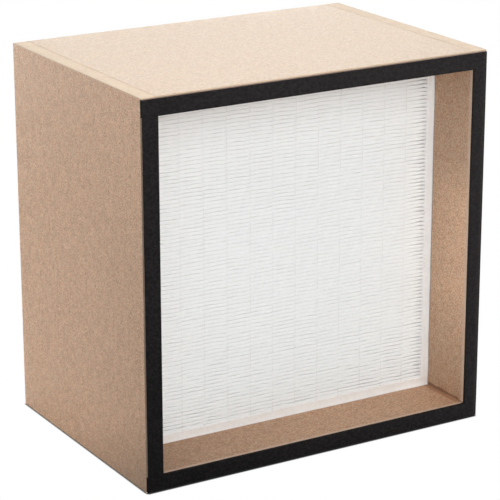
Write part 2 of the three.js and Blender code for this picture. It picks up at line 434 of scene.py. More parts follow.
def fibreboard_edge(name, axis):
    """The sawn edge: paler in the middle of the thickness, dense and darker near both faces.

    axis is the one across the board's thickness."""
    material, tree, shader = new_material(name)
    plain = coordinates(tree)
    grain = noise(tree, plain, 420, 4, 0.7)
    broad = noise(tree, plain, 60, 3, 0.6)
    saw = noise(tree, coordinates(tree, (40, 900, 40)), 1, 2, 0.5)
    source = tree.nodes.new("ShaderNodeTexCoord").outputs["Generated"]
    across = add_node(tree, "ShaderNodeSeparateXYZ", Vector=source).outputs[axis]
    layer = ramp(tree, across, [(0.0, 0.0), (0.14, 0.85), (0.5, 1.0), (0.86, 0.85), (1.0, 0.0)])
    colour = mix(tree, layer, EDGE_DENSE, EDGE_MIDDLE)
    tints = [
        (ramp(tree, grain, [(0.4, 0.0), (0.7, 0.6)]), EDGE_GRAIN),
        (ramp(tree, broad, [(0.35, 0.0), (0.7, 0.35)]), EDGE_PALE),
    ]
    tree.links.new(tinted(tree, colour, tints), shader.inputs["Base Color"])
    shader.inputs["Roughness"].default_value = 0.72
    bump(tree, shader, [(grain, 0.12 * MM), (saw, 0.06 * MM)])
    return material


FOAM_BLACK = (0.0014, 0.0011, 0.0013)
FOAM_PAINTED_SHEEN = (0.0145, 0.0125, 0.0128)
COARSE_DUST_AND_SHEEN = (0.034, 0.03, 0.031)
FINE_DUST_AND_SHEEN = (0.03, 0.026, 0.027)
FOAM_EDGE_HIGHLIGHT = (0.046, 0.042, 0.038)


def foam_painted_sheen(tree, broad):
    """How much painted sheen lies on the foam: least at the frame's lower left, most at its upper right,
    and uneven.
    """
    x, _, z = position(tree)
    rightward = part_of(tree, x, -RIGHT_HIGH.x, 2 * RIGHT_HIGH.x)
    upward = part_of(tree, z, 0, TOP_HIGH.z)
    uneven = product(tree, maths(tree, "SUBTRACT", broad, 0.5), 0.35)
    return maths(tree, "ADD", product(tree, maths(tree, "ADD", rightward, upward), 0.5), uneven)


def gasket_foam():
    """Closed-cell black foam: matt, finely pored and a little dusty, with painted sheen that lightens it
    towards the frame's upper right and a painted highlight along its right edge.
    """
    material, tree, shader = new_material("gasket_foam")
    plain = coordinates(tree)
    cells = add_node(tree, "ShaderNodeTexVoronoi", Vector=plain, Scale=900)
    fine = noise(tree, plain, 700, 4, 0.65)
    coarse = noise(tree, plain, 380, 3, 0.6)
    broad = noise(tree, plain, 45, 3, 0.6)
    painted_sheen = foam_painted_sheen(tree, broad)
    # Pale specks of dust, more of them where the painted sheen is.
    dust = maths(tree, "ADD", product(tree, painted_sheen, 0.7), 0.18)
    # Painted highlight: the foam is painted lighter over its last few millimetres at the right.
    right_edge_highlight = part_of(tree, position(tree)[0], RIGHT_HIGH.x - 8 * MM, 7 * MM)
    colour = mix(tree, ramp(tree, painted_sheen, [(0.1, 0.0), (0.85, 1.0)]), FOAM_BLACK, FOAM_PAINTED_SHEEN)
    tints = [
        (product(tree, ramp(tree, coarse, [(0.42, 0.0), (0.66, 0.9)]), dust), COARSE_DUST_AND_SHEEN),
        (product(tree, ramp(tree, fine, [(0.45, 0.0), (0.7, 0.7)]), dust), FINE_DUST_AND_SHEEN),
        (ramp(tree, right_edge_highlight, [(0.0, 0.0), (1.0, 0.6)]), FOAM_EDGE_HIGHLIGHT),
    ]
    tree.links.new(tinted(tree, colour, tints), shader.inputs["Base Color"])
    shader.inputs["Specular IOR Level"].default_value = 0.12
    tree.links.new(ramp(tree, broad, [(0.3, 0.7), (0.7, 0.82)]), shader.inputs["Roughness"])
    bump(tree, shader, [(cells.outputs["Distance"], 0.12 * MM), (fine, 0.1 * MM)])
    return material


FOAM_SIDE = (0.26, 0.185, 0.14)
FOAM_SIDE_DUSTY = (0.34, 0.25, 0.195)
FOAM_SHOWING = (0.05, 0.034, 0.026)


def foam_side():
    """The cut outer side of the foam, brownish with board dust and the glue that holds it."""
    material, tree, shader = new_material("gasket_foam_side")
    plain = coordinates(tree)
    dust = noise(tree, plain, 420, 4, 0.65)
    colour = mix(tree, noise(tree, plain, 60, 3, 0.6), FOAM_SIDE, FOAM_SIDE_DUSTY)
    colour = mix(tree, ramp(tree, dust, [(0.5, 0.0), (0.75, 0.7)]), colour, FOAM_SHOWING)
    tree.links.new(colour, shader.inputs["Base Color"])
    shader.inputs["Roughness"].default_value = 0.85
    shader.inputs["Specular IOR Level"].default_value = 0.2
    bump(tree, shader, [(dust, 0.1 * MM)])
    return material


PAPER_GREY = (0.86, 0.876, 0.874)
PAPER_WHITE = (0.918, 0.935, 0.937)
PAPER_PAINTED_LIGHT = (0.9, 0.935, 0.945)
PAPER_FIBRE = (0.78, 0.78, 0.77)
PAINTED_LIGHT_REACH = 100 * MM


def filter_paper():
    """White glass-fibre paper: matt, cloudy, with tiny fibres, and painted light that makes it a little
    whiter near the bottom.
    """
    material, tree, shader = new_material("filter_paper")
    cloud = noise(tree, coordinates(tree), 260, 4, 0.6)
    fibres = noise(tree, coordinates(tree, (500, 1800, 1800)), 1, 3, 0.6)
    # Painted light: the paper is painted whiter over its lowest part.
    above = part_of(tree, position(tree)[2], PAPER_LOW.z, PAINTED_LIGHT_REACH)
    colour = mix(tree, cloud, PAPER_GREY, PAPER_WHITE)
    tints = [
        (ramp(tree, above, FALLING), PAPER_PAINTED_LIGHT),
        (ramp(tree, fibres, [(0.55, 0.0), (0.8, 0.35)]), PAPER_FIBRE),
    ]
    tree.links.new(tinted(tree, colour, tints), shader.inputs["Base Color"])
    shader.inputs["Roughness"].default_value = 0.9
    shader.inputs["Specular IOR Level"].default_value = 0.3
    bump(tree, shader, [(cloud, 0.05 * MM), (fibres, 0.03 * MM)])
    return material


RESIN = (0.925, 0.93, 0.928)
RESIN_PALE = (0.95, 0.962, 0.965)
RESIN_CLOUD = (0.87, 0.862, 0.848)
RESIN_PINHOLE = (0.55, 0.51, 0.47)
RESIN_FOOT_TINT = (0.94, 0.92, 0.895)
RESIN_EDGE_DARK = (0.24, 0.135, 0.075)
RESIN_FOOT = 10 * MM


def potting_resin():
    """Cast resin, off-white, satin, with faint flow marks and pinholes. It is dark brown within about a
    millimetre of the boards, and its foot is a little darker."""
    material, tree, shader = new_material("potting_resin")
    plain = coordinates(tree)
    flow = noise(tree, plain, 70, 4, 0.55)
    fine = noise(tree, plain, 700, 3, 0.5)
    cloud = noise(tree, plain, 240, 3, 0.6)
    pinholes = noise(tree, plain, 1100, 1, 0.4)
    x, _, z = position(tree)
    off_side = maths(tree, "SUBTRACT", INNER_X, maths(tree, "ABSOLUTE", x))
    off_bottom = maths(tree, "SUBTRACT", z, INNER_BOTTOM)
    off_boards = maths(tree, "MINIMUM", off_side, maths(tree, "ADD", off_bottom, 0.4 * MM))
    foot = ramp(tree, maths(tree, "DIVIDE", off_bottom, RESIN_FOOT), [(0.85, 1.0), (1.0, 0.0)])
    dark_edge = ramp(tree, maths(tree, "DIVIDE", off_boards, 1 * MM), [(0.35, 0.75), (0.85, 0.0)])
    colour = mix(tree, ramp(tree, flow, [(0.38, 0.0), (0.62, 1.0)]), RESIN, RESIN_PALE)
    tints = [
        (ramp(tree, cloud, [(0.42, 0.0), (0.68, 0.6)]), RESIN_CLOUD),
        (ramp(tree, pinholes, [(0.72, 0.0), (0.78, 0.6)]), RESIN_PINHOLE),
    ]
    colour = mix(tree, foot, tinted(tree, colour, tints), RESIN_FOOT_TINT, "MULTIPLY")
    tree.links.new(mix(tree, dark_edge, colour, RESIN_EDGE_DARK), shader.inputs["Base Color"])
    tree.links.new(ramp(tree, flow, [(0.3, 0.38), (0.7, 0.55)]), shader.inputs["Roughness"])
    bump(tree, shader, [(flow, 0.35 * MM), (fine, 0.02 * MM)])
    return material


MELT_GREY = (0.75, 0.755, 0.75)
MELT_PALE = (0.83, 0.835, 0.835)


def hot_melt():
    """Hot-melt glue: milky, a little greyer than the paper, with a soft gloss."""
    material, tree, shader = new_material("hot_melt")
    cloud = noise(tree, coordinates(tree), 300, 3, 0.6)
    tree.links.new(mix(tree, cloud, MELT_GREY, MELT_PALE), shader.inputs["Base Color"])
    tree.links.new(ramp(tree, cloud, [(0.3, 0.34), (0.7, 0.5)]), shader.inputs["Roughness"])
    bump(tree, shader, [(cloud, 0.08 * MM)])
    return material


GLUE_UPRIGHT_SHADE_DARK = (0.145, 0.066, 0.031)
GLUE_UPRIGHT_SHADE_PALE = (0.33, 0.17, 0.09)
GLUE_LYING_DARK = (0.29, 0.13, 0.06)
GLUE_LYING_PALE = (0.46, 0.225, 0.11)


def wood_glue():
    """Dried wood glue: orange-brown where it lies flat; where it stands up a board it is painted darker,
    as painted shade.
    """
    material, tree, shader = new_material("wood_glue")
    plain = coordinates(tree)
    blotch = noise(tree, plain, 160, 4, 0.6)
    fine = noise(tree, plain, 900, 3, 0.6)
    geometry = tree.nodes.new("ShaderNodeNewGeometry")
    upward = add_node(tree, "ShaderNodeSeparateXYZ", Vector=geometry.outputs["Normal"]).outputs["Z"]
    # Painted shade: faces that stand upright take the darker colours.
    level = ramp(tree, maths(tree, "ABSOLUTE", upward), [(0.45, 0.0), (0.85, 1.0)])
    upright_painted_shade = mix(tree, blotch, GLUE_UPRIGHT_SHADE_DARK, GLUE_UPRIGHT_SHADE_PALE)
    lying = mix(tree, blotch, GLUE_LYING_DARK, GLUE_LYING_PALE)
    tree.links.new(mix(tree, level, upright_painted_shade, lying), shader.inputs["Base Color"])
    tree.links.new(ramp(tree, blotch, [(0.3, 0.4), (0.7, 0.62)]), shader.inputs["Roughness"])
    bump(tree, shader, [(blotch, 0.3 * MM), (fine, 0.05 * MM)])
    return material


MATERIALS = {
    "side_face": fibreboard_face("fibreboard_face_upright", (950, 950, 620)),
    "level_face": fibreboard_face("fibreboard_face_level", (480, 480, 950)),
    "edge_x": fibreboard_edge("fibreboard_edge_side", "X"),
    "edge_z": fibreboard_edge("fibreboard_edge_level", "Z"),
    "foam": gasket_foam(),
    "foam_side": foam_side(),
    "paper": filter_paper(),
    "resin": potting_resin(),
    "melt": hot_melt(),
    "glue": wood_glue(),
}

# ---- the case and the gasket

FLUSH = 0.001 * MM  # a point this close to a plane lies in it
TOUCHING = 0.01 * MM
SHARP = 1  # radians between two faces
FACING = 0.7  # how squarely a board's face looks along an axis


def cut_block(low, high, cut):
    """A block's mesh, cut into lengths of about cut along each axis."""
    bm = bmesh.new()
    bmesh.ops.create_cube(bm, size=1)
    size = high - low
    middle = (high + low) / 2
    for v in bm.verts:
        v.co = Vector((v.co.x * size.x, v.co.y * size.y, v.co.z * size.z)) + middle
    for axis in range(3):
        pieces = max(1, round(size[axis] / cut))
        normal = Vector((0, 0, 0))
        normal[axis] = 1
        for k in range(1, pieces):
            place = middle.copy()
            place[axis] = low[axis] + size[axis] * k / pieces
            everything = bm.verts[:] + bm.edges[:] + bm.faces[:]
            bmesh.ops.bisect_plane(bm, geom=everything, plane_co=place, plane_no=normal)
    return bm


def round_edges(obj, width):
    """Rounds the edges by their bevel weight: width is the rounding at a weight of 1."""
    plain = obj.data
    rounding = obj.modifiers.new("rounding", "BEVEL")
    rounding.limit_method = "WEIGHT"
    rounding.width = width
    rounding.segments = 3
    rounding.profile = 0.55
    rounding.harden_normals = True
    evaluated = obj.evaluated_get(bpy.context.evaluated_depsgraph_get())
    rounded = bpy.data.meshes.new_from_object(evaluated)
    obj.modifiers.clear()
    obj.data = rounded
    bpy.data.meshes.remove(plain)


def eased_block(name, low, high, ease_of, waviness, seed, cut=20 * MM):
    """A block with its edges rounded by ease_of(middle of the edge) and left a little uneven."""
    bm = cut_block(low, high, cut)
    weights = bm.edges.layers.float.new("bevel_weight_edge")
    sharp = [e for e in bm.edges if len(e.link_faces) == 2 and e.calc_face_angle() > SHARP]
    eases = [ease_of((e.verts[0].co + e.verts[1].co) / 2) for e in sharp]
    for edge, ease in zip(sharp, eases):
        edge[weights] = ease / max(eases)
    plain = bpy.data.meshes.new(name + "_plain")
    bm.to_mesh(plain)
    bm.free()
    plain.shade_smooth()
    obj = bpy.data.objects.new(name, plain)
    bpy.context.scene.collection.objects.link(obj)
    round_edges(obj, max(eases))
    random = np.random.default_rng(seed)
    middle = (high + low) / 2
    for v in obj.data.vertices:
        if not any(min(abs(v.co[k] - low[k]), abs(v.co[k] - high[k])) < FLUSH for k in range(3)):
            v.co += (middle - v.co).normalized() * waviness * random.uniform(0, 1)
    return obj


CASE_EDGE_EASE = 0.5 * MM
JOINT_EASE = 0.4 * MM
BOARD_WAVINESS = 0.12 * MM
FOAM_OUTER_EASE = 1.5 * MM
FOAM_EASE = 0.5 * MM
FOAM_WAVINESS = 0.1 * MM
FOAM_CUT = 12 * MM
FOAM_SIDE_FACING = 0.75  # a face more squarely outwards than this is the cut side


def on_case_outside(place):
    """Whether a point of a board's edge lies on the case's outside and not at a joint between boards."""
    side = abs(abs(place.x) - RIGHT_HIGH.x) < TOUCHING
    level = min(abs(place.z - TOP_HIGH.z), abs(place.z)) < TOUCHING
    rim = min(abs(place.y - RIM_Y), abs(place.y - REAR_Y)) < TOUCHING
    return side + level + rim > 1


def board_ease(place):
    """How much a board's edge is rounded at a point of it."""
    return CASE_EDGE_EASE if on_case_outside(place) else JOINT_EASE


def board(node, thin_axis, edge_material, seed):
    """One board of the case: pressed faces across its thickness, sawn edges elsewhere."""
    low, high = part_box(node)
    obj = eased_block(node + "_shaped", low, high, board_ease, BOARD_WAVINESS, seed)
    obj.data.materials.append(MATERIALS["side_face" if thin_axis == 0 else "level_face"])
    obj.data.materials.append(MATERIALS[edge_material])
    for polygon in obj.data.polygons:
        polygon.material_index = 0 if abs(polygon.normal[thin_axis]) > FACING else 1
    settle(obj, node)


# How far each side of the foam frame lies inside the outer faces of the case: outer edge, inner edge.
FOAM_PLACES = {
    "left": (0.2 * MM, 18.9 * MM),
    "right": (1.5 * MM, 17.9 * MM),
    "top": (1.3 * MM, 19.8 * MM),
    "bottom": (1.3 * MM, 18.4 * MM),
}


def foam_box(side):
    """The corners of one strip of the foam frame, and its axis and direction outwards."""
    left, inner_left = [d - RIGHT_HIGH.x for d in FOAM_PLACES["left"]]
    right, inner_right = [RIGHT_HIGH.x - d for d in FOAM_PLACES["right"]]
    top, inner_top = [TOP_HIGH.z - d for d in FOAM_PLACES["top"]]
    bottom, inner_bottom = FOAM_PLACES["bottom"]
    x, z, axis, outwards = {
        "left": ((left, inner_left), (inner_bottom, inner_top), 0, -1),
        "right": ((inner_right, right), (inner_bottom, inner_top), 0, 1),
        "top": ((left, right), (inner_top, top), 2, 1),
        "bottom": ((left, right), (bottom, inner_bottom), 2, -1),
    }[side]
    low = Vector((x[0], GASKET_LOW.y, z[0]))
    high = Vector((x[1], GASKET_HIGH.y, z[1]))
    return low, high, axis, outwards


def gasket_strip(side, seed):
    """One foam strip, laid by hand a little out of true, with its cut sides rounded over."""
    low, high, axis, outwards = foam_box(side)
    outer = high[axis] if outwards > 0 else low[axis]

    def ease(place):
        """The front edges round the outside of the whole frame are rounded more than the rest."""
        at_outer = abs(place[axis] - outer) < TOUCHING
        at_end = axis == 2 and min(abs(place.x - low.x), abs(place.x - high.x)) < TOUCHING
        front = abs(place.y - low.y) < TOUCHING
        return FOAM_OUTER_EASE if front and (at_outer or at_end) else FOAM_EASE

    obj = eased_block(f"gasket_{side}_shaped", low, high, ease, FOAM_WAVINESS, seed, FOAM_CUT)
    obj.data.materials.append(MATERIALS["foam"])
    obj.data.materials.append(MATERIALS["foam_side"])
    for polygon in obj.data.polygons:
        polygon.material_index = 1 if polygon.normal[axis] * outwards > FOAM_SIDE_FACING else 0
    settle(obj, f"gasket_{side}")


# ---- the pleated paper

PAPER_THICKNESS = 0.4 * MM
PAPER_INTO_RESIN = 4 * MM
TIP_ROUNDING = 0.4 * MM
TIP_SQUARENESS = 0.4
GAP_AT_TIPS = 0.185 * MM
GAP_AT_ENDS = 1.6 * MM
GROOVE_AT_BEAD = 0.22 * MM
CLIMB = 1.8 * MM  # the pleats aren't quite level: they climb towards the left
CLIMB_REACH = 90 * MM
TIP_BULGE = 0.14 * MM
TIP_SET_BACK = 0.15 * MM
FRONT_TIP_POINTS = 13
REAR_TIP_POINTS = 9
LEG = 9 * MM  # the sheet runs straight between two places this far behind the tips
LEG_LEAN = 0.06


def paper_columns():
    """The places across the width where the sheet's section is set: close together at each separator
    line and towards the sheet's ends."""
    end = PAPER_HIGH.x + PAPER_INTO_RESIN
    places = [-end, end]
    for x in BEAD_X:
        places += [x + off * MM for off in (-4.5, -2.6, -1.5, -0.7, 0, 0.7, 1.5, 2.6)]
    for x in BEAD_X[:-1]:
        places += [x + BEAD_SPACING * part for part in (0.2, 0.35, 0.5, 0.65, 0.8)]
    last = max(BEAD_X)
    for side in (-1, 1):
        for part in (0.25, 0.4, 0.55, 0.66, 0.76, 0.84, 0.9, 0.95, 1.0):
            places.append(side * (last + (PAPER_HIGH.x - last) * part))
    return np.array(sorted(places))


def bead_nearness(x):
    """1 on a separator line, falling to 0 about 2 mm away."""
    nearest = np.min(np.abs(np.asarray(x)[:, None] - np.array(BEAD_X)[None, :]), 1)
    return np.exp(-((nearest / (1.5 * MM)) ** 2))


def field(seed, rows, columns, across, tall):
    """Smooth random numbers over rows by columns: value noise that changes over these two lengths."""
    random = np.random.default_rng(seed)
    place_r = (np.asarray(rows) - min(rows)) / tall
    place_c = (np.asarray(columns) - min(columns)) / across
    values = random.uniform(-1, 1, (int(place_r.max()) + 3, int(place_c.max()) + 3))
    index_r, index_c = place_r.astype(int), place_c.astype(int)
    part_r, part_c = place_r - index_r, place_c - index_c
    part_r = (part_r * part_r * (3 - 2 * part_r))[:, None]
    part_c = (part_c * part_c * (3 - 2 * part_c))[None, :]
    low = values[index_r][:, index_c] * (1 - part_c) + values[index_r][:, index_c + 1] * part_c
    high = values[index_r + 1][:, index_c] * (1 - part_c) + values[index_r + 1][:, index_c + 1] * part_c
    return low * (1 - part_r) + high * part_r


def held_at_beads(x):
    """How high each pleat is held: it dips a little before a separator line and rises just after it."""
    from_bead = (x[:, None] - np.array(BEAD_X)[None, :]) / MM
    before = np.exp(-(((from_bead + 4.5) / 3.5) ** 2)).sum(1)
    after = np.exp(-(((from_bead - 8) / 6) ** 2)).sum(1)
    return (0.12 * after - 0.24 * before) * MM


# How far the folds wander, over what part of the spacing between beads, and over how many pleats.
WANDERS = ((0.5 * MM, 0.8, 5), (0.3 * MM, 0.4, 1.5), (0.2 * MM, 0.25, 0.8))
LOWERED = 0.8 * MM  # how far the pleats above the first two sit below an even layout
HELD_FROM = 60 * MM  # to the right of here the resin's edge holds the second pleat too
RESIN_SHADOW = 2.4 * MM


def fold_heights(x, heights, seed):
    """The middles of the gaps between pleat tips, as gaps by columns."""
    sway = 0
    for k, (reach, spacings, pleats) in enumerate(WANDERS):
        sway = sway + reach * field(seed + k, heights, x, BEAD_SPACING * spacings, PITCH * pleats)
    sway = sway + CLIMB * (1 - np.exp((x - PAPER_HIGH.x) / CLIMB_REACH))[None, :]
    lowered = LOWERED * np.clip(np.arange(len(heights)) / 2, 0, 1)[:, None]
    return heights[:, None] + (sway + held_at_beads(x)[None, :] - lowered)


def end_opening(x, heights, seed):
    """How open each gap is along the pleats: most where they enter the resin, 0 away from it."""
    reach = (6 + 3.5 * field(seed + 4, heights, [0], 1, PITCH * 0.7)) * MM
    upward = np.clip((heights - PAPER_LOW.z) / (PAPER_HIGH.z - PAPER_LOW.z), 0, 1)[:, None]
    reach = reach * (1 + 0.15 * upward)
    from_end = np.clip(PAPER_HIGH.x - np.abs(x), 0, None)[None, :]
    opening = np.exp(-((from_end / reach) ** 1.2)) + 0.4 * np.exp(-((from_end / RESIN_SHADOW) ** 2))
    return opening * (1 + 0.25 * field(seed + 5, heights, [0], 1, PITCH * 0.6))


def tip_layout(x, count, first, seed):
    """The middles and widths of the count + 1 gaps between pleat tips on one face, by columns."""
    heights = first + np.arange(count + 1) * PITCH
    size = 1 + 0.95 * field(seed + 3, heights, x, BEAD_SPACING * 0.3, PITCH * 0.8)
    size = size * (1 + 1.6 * np.exp((PAPER_LOW.z - heights) / (70 * MM)))[:, None]
    widths = GAP_AT_TIPS * size + (GAP_AT_ENDS - GAP_AT_TIPS) * end_opening(x, heights, seed)
    pulled = 1 / (1 + np.exp((x - HELD_FROM) / (6 * MM)))
    widths[1] += 0.16 * MM * pulled
    widths[2] += 0.2 * MM * (1 - pulled)
    return fold_heights(x, heights, seed), widths


def tip_arc(face, into, lower, upper, points):
    """Each tip's rounded section as (depth, height) from its lower side to its upper side: flat in front,
    round at the corners."""
    angles = np.linspace(-math.pi / 2, math.pi / 2, points)[:, None]
    across = np.sign(np.sin(angles)) * np.abs(np.sin(angles)) ** TIP_SQUARENESS
    back = 1 - np.abs(np.cos(angles)) ** TIP_SQUARENESS
    depth = face + into * back * TIP_ROUNDING
    return zip(depth, (lower + upper) / 2 + across * ((upper - lower) / 2))


def tip_sides(middles, widths, i):
    """The lower and the upper side of tip i, between the gap below it and the gap above it."""
    half_sheet = PAPER_THICKNESS / 2
    lower = middles[i] + widths[i] / 2 + half_sheet
    upper = middles[i + 1] - widths[i + 1] / 2 - half_sheet
    return lower, upper


def paper_section(x):
    """The sheet's middle surface: depth and height, as points along the fold line by columns."""
    front = tip_layout(x, PLEAT_COUNT, PAPER_LOW.z, 100)
    rear = tip_layout(x, PLEAT_COUNT - 1, PAPER_LOW.z + PITCH / 2, 5100)
    sunk = bead_nearness(x) * GROOVE_AT_BEAD
    tips = np.arange(PLEAT_COUNT) * PITCH
    front_bulge = TIP_BULGE * field(9000, tips, x, BEAD_SPACING * 0.5, PITCH * 0.8)
    rear_bulge = TIP_BULGE * field(9001, tips, x, BEAD_SPACING * 0.5, PITCH * 0.8)
    depth, height = [], []

    def put(y, z):
        """One more point along the fold line."""
        depth.append(np.broadcast_to(y, x.shape))
        height.append(np.broadcast_to(z, x.shape))

    put(PACK_REAR - 1 * MM, front[0][0] + 0.5 * MM)
    for i in range(PLEAT_COUNT):
        lower, upper = tip_sides(*front, i)
        face = PACK_FRONT + PAPER_THICKNESS / 2 + sunk + front_bulge[i] + TIP_SET_BACK
        for y, z in tip_arc(face, 1, lower, upper, FRONT_TIP_POINTS):
            put(y, z)
        if i == PLEAT_COUNT - 1:
            break
        rear_lower, rear_upper = tip_sides(*rear, i)
        put(PACK_FRONT + LEG, upper + (rear_lower - upper) * LEG_LEAN)
        put(PACK_REAR - LEG, rear_lower + (upper - rear_lower) * LEG_LEAN)
        rear_face = PACK_REAR - PAPER_THICKNESS / 2 - sunk - rear_bulge[i] - TIP_SET_BACK
        for y, z in tip_arc(rear_face, -1, rear_lower, rear_upper, REAR_TIP_POINTS):
            put(y, z)
        next_lower, _ = tip_sides(*front, i + 1)
        put(PACK_REAR - LEG, rear_upper + (next_lower - rear_upper) * LEG_LEAN)
        put(PACK_FRONT + LEG, next_lower + (rear_upper - next_lower) * LEG_LEAN)
    put(PACK_REAR - 1 * MM, front[0][-1] - 0.5 * MM)
    return np.array(depth), np.array(height)


def sheet_ends(points, columns):
    """Quads that close the sheet's left and right ends, between its two surfaces."""
    ends = []
    for column in (0, columns - 1):
        for i in range(points - 1):
            a = i * columns + column
            b = (i + 1) * columns + column
            c = (2 * points - 2 - i) * columns + column
            d = (2 * points - 1 - i) * columns + column
            ends.append((a, b, c, d) if column else (d, c, b, a))
    return ends


def pleated_paper():
    """One continuous sheet with thickness, folded from the bottom to the top."""
    x = paper_columns()
    y, z = paper_section(x)
    along_y = np.gradient(y, axis=0)
    along_z = np.gradient(z, axis=0)
    length = np.hypot(along_y, along_z)
    off_y = -along_z / length * (PAPER_THICKNESS / 2)
    off_z = along_y / length * (PAPER_THICKNESS / 2)
    points, columns = y.shape
    wide = np.broadcast_to(x, y.shape)
    near = np.stack([wide, y + off_y, z + off_z], -1)
    far = np.stack([wide, y - off_y, z - off_z], -1)
    vertices = np.concatenate([near, far[::-1]], 0).reshape(-1, 3)
    faces = tube_faces(2 * points, columns) + sheet_ends(points, columns)
    obj = mesh_object("pleated_paper_shaped", vertices, faces, MATERIALS["paper"])
    settle(obj, "pleated_paper")


# ---- separator lines

BEAD_SECTION = [(-1, -1), (-0.95, -0.2), (-0.6, 0.65), (0, 1), (0.6, 0.65), (0.95, -0.2), (1, -1)]
BEAD_ROOT = -5 * MM  # how deep between the pleats the bead is rooted
BEAD_STEPS_PER_PLEAT = 4


def separator(node, side, seed):
    """A bead of glue across the tips: rounded, swelling at each tip and dipping between them.

    side is -1 on the front of the pack and 1 on its rear."""
    low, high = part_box(node)
    centre = (low.x + high.x) / 2
    face = PACK_FRONT if side < 0 else PACK_REAR
    z = np.linspace(low.z, high.z, PLEAT_COUNT * BEAD_STEPS_PER_PLEAT + 1)
    swell = -np.cos(2 * math.pi * (z - PAPER_LOW.z) / PITCH)
    half_width = (0.95 + 0.12 * swell + 0.12 * value_noise(seed, z, 11 * MM)) * MM
    proud = (-0.32 + 0.12 * swell + 0.06 * value_noise(seed + 1, z, 7 * MM)) * MM
    wander = 0.12 * MM * value_noise(seed + 2, z, 40 * MM)
    rows = []
    for across, out in BEAD_SECTION:
        depth = proud + (out - 1) * 0.5 * MM if out > -1 else np.full_like(z, BEAD_ROOT)
        rows.append(np.stack([centre + wander + across * half_width, face + side * depth, z], -1))
    obj = bar_object(node + "_shaped", rows, MATERIALS["melt"], flipped=side > 0)
    settle(obj, node)


# ---- potting and corner glue

POTTING_STEPS = 120
CLOSE_TO_ENDS = np.array([0.4, 0.9, 1.6, 2.6]) * MM
POTTING_PARTS = (0.0, 0.04, 0.1, 0.18, 0.3, 0.5, 0.7, 0.85, 1.0)  # from the board to the paper
CREEP_REACH = 1.5 * MM
FOOT_CREEP = 3.2 * MM
FLOW_DEPTH = 0.22 * MM
EDGE_WANDER = 0.5 * MM


def potting(node, wall, inner, ends, rises, upright, seed):
    """A strip of resin between a board and the paper: curved where it wets the board, uneven elsewhere.

    wall and inner are the strip's two long sides, ends its ends along its length, and rises how far it
    creeps forwards on the board at each end. An upright strip creeps over the level boards too."""
    width = inner - wall
    middle = np.linspace(ends[0], ends[1], POTTING_STEPS)
    along = np.unique(np.concatenate([middle, ends[0] + CLOSE_TO_ENDS, ends[1] - CLOSE_TO_ENDS]))
    creep = np.interp(along, ends, rises) * (0.88 + 0.12 * value_noise(seed, along, 26 * MM))
    from_end = np.minimum(along - ends[0], ends[1] - along)
    foot = FOOT_CREEP * np.exp(-from_end / CREEP_REACH) * upright
    front, rear = [], []
    for k, part in enumerate(POTTING_PARTS):
        lift = math.exp(-part * abs(width) / CREEP_REACH)
        flow = FLOW_DEPTH * value_noise(seed + 7 + k // 3, along, 16 * MM) * (part > 0)
        place = np.full_like(along, wall + width * part)
        if part == 1.0:
            place = place + np.sign(width) * EDGE_WANDER * value_noise(seed + 30, along, 5 * MM)
        front.append((place, PACK_FRONT - np.maximum(lift * creep, foot) + flow))
        rear.append((place, PACK_REAR + lift * creep + flow))
    rows = []
    for place, depth in front + rear[::-1]:
        axes = [place, depth, along] if upright else [along, depth, place]
        rows.append(np.stack(axes, -1))
    obj = bar_object(node + "_shaped", rows, MATERIALS["resin"])
    face_outwards(obj)
    settle(obj, node)


GLUE_STEPS = 70
GLUE_SUNK = 0.3 * MM


def corner_glue(node, seed):
    """Glue squeezed out along an inner corner of the case, up the side board and across the level one,
    where it thins towards the pack."""
    low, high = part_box(node)
    side_x = 1 if high.x > 0 else -1
    side_z = 1 if high.z > (INNER_TOP + INNER_BOTTOM) / 2 else -1
    corner_z = INNER_TOP if side_z > 0 else INNER_BOTTOM
    y = np.linspace(low.y + 0.2 * MM, high.y - 0.2 * MM, GLUE_STEPS)
    from_end = y - y[0] if low.y < 0 else y[-1] - y
    rounded = np.sqrt(np.clip(from_end / (3 * MM), 0.02, 1))
    thinned = rounded * np.clip(1 - (from_end - 18 * MM) / (30 * MM), 0.4, 1)
    across = (4.7 + 0.3 * value_noise(seed, y, 7 * MM)) * MM * thinned
    upward = (4.6 + 1.2 * value_noise(seed + 1, y, 9 * MM)) * MM * rounded
    section = [
        (-GLUE_SUNK, -GLUE_SUNK),
        (across, -GLUE_SUNK),
        (across * 0.96, 0.25 * MM * thinned),
        (across * 0.5, 0.5 * MM * thinned),
        (across * 0.22, 0.8 * MM * thinned),
        (0.7 * MM * rounded, upward * 0.35),
        (0.4 * MM * rounded, upward * 0.7),
        (-GLUE_SUNK, upward),
    ]
    rows = []
    for away, up in section:
        x = side_x * (INNER_X - np.broadcast_to(away, y.shape))
        z = corner_z - side_z * np.broadcast_to(up, y.shape)
        rows.append(np.stack([x, y, z], -1))
    obj = bar_object(node + "_shaped", rows, MATERIALS["glue"])
    face_outwards(obj)
    settle(obj, node)


# ---- building

RESIN_LAP = 1.5 * MM  # how far the resin laps over the lowest and the highest pleat


def potting_frame():
    """The four strips of resin round the paper, each with its creep at its lower or left end first."""
    side = PAPER_HIGH.x
    upright = (INNER_BOTTOM, INNER_TOP)
    level = (-side - 1 * MM, side + 1 * MM)
    above_lowest = PAPER_LOW.z + RESIN_LAP
    below_highest = PAPER_HIGH.z - RESIN_LAP
    potting("potting_left", -INNER_X, -side, upright, (2.4 * MM, 3 * MM), True, 400)
    potting("potting_right", INNER_X, side, upright, (3.4 * MM, 3.2 * MM), True, 450)
    potting("potting_bottom", INNER_BOTTOM, above_lowest, level, (1 * MM, 3.4 * MM), False, 500)
    potting("potting_top", INNER_TOP, below_highest, level, (2 * MM, 3 * MM), False, 550)


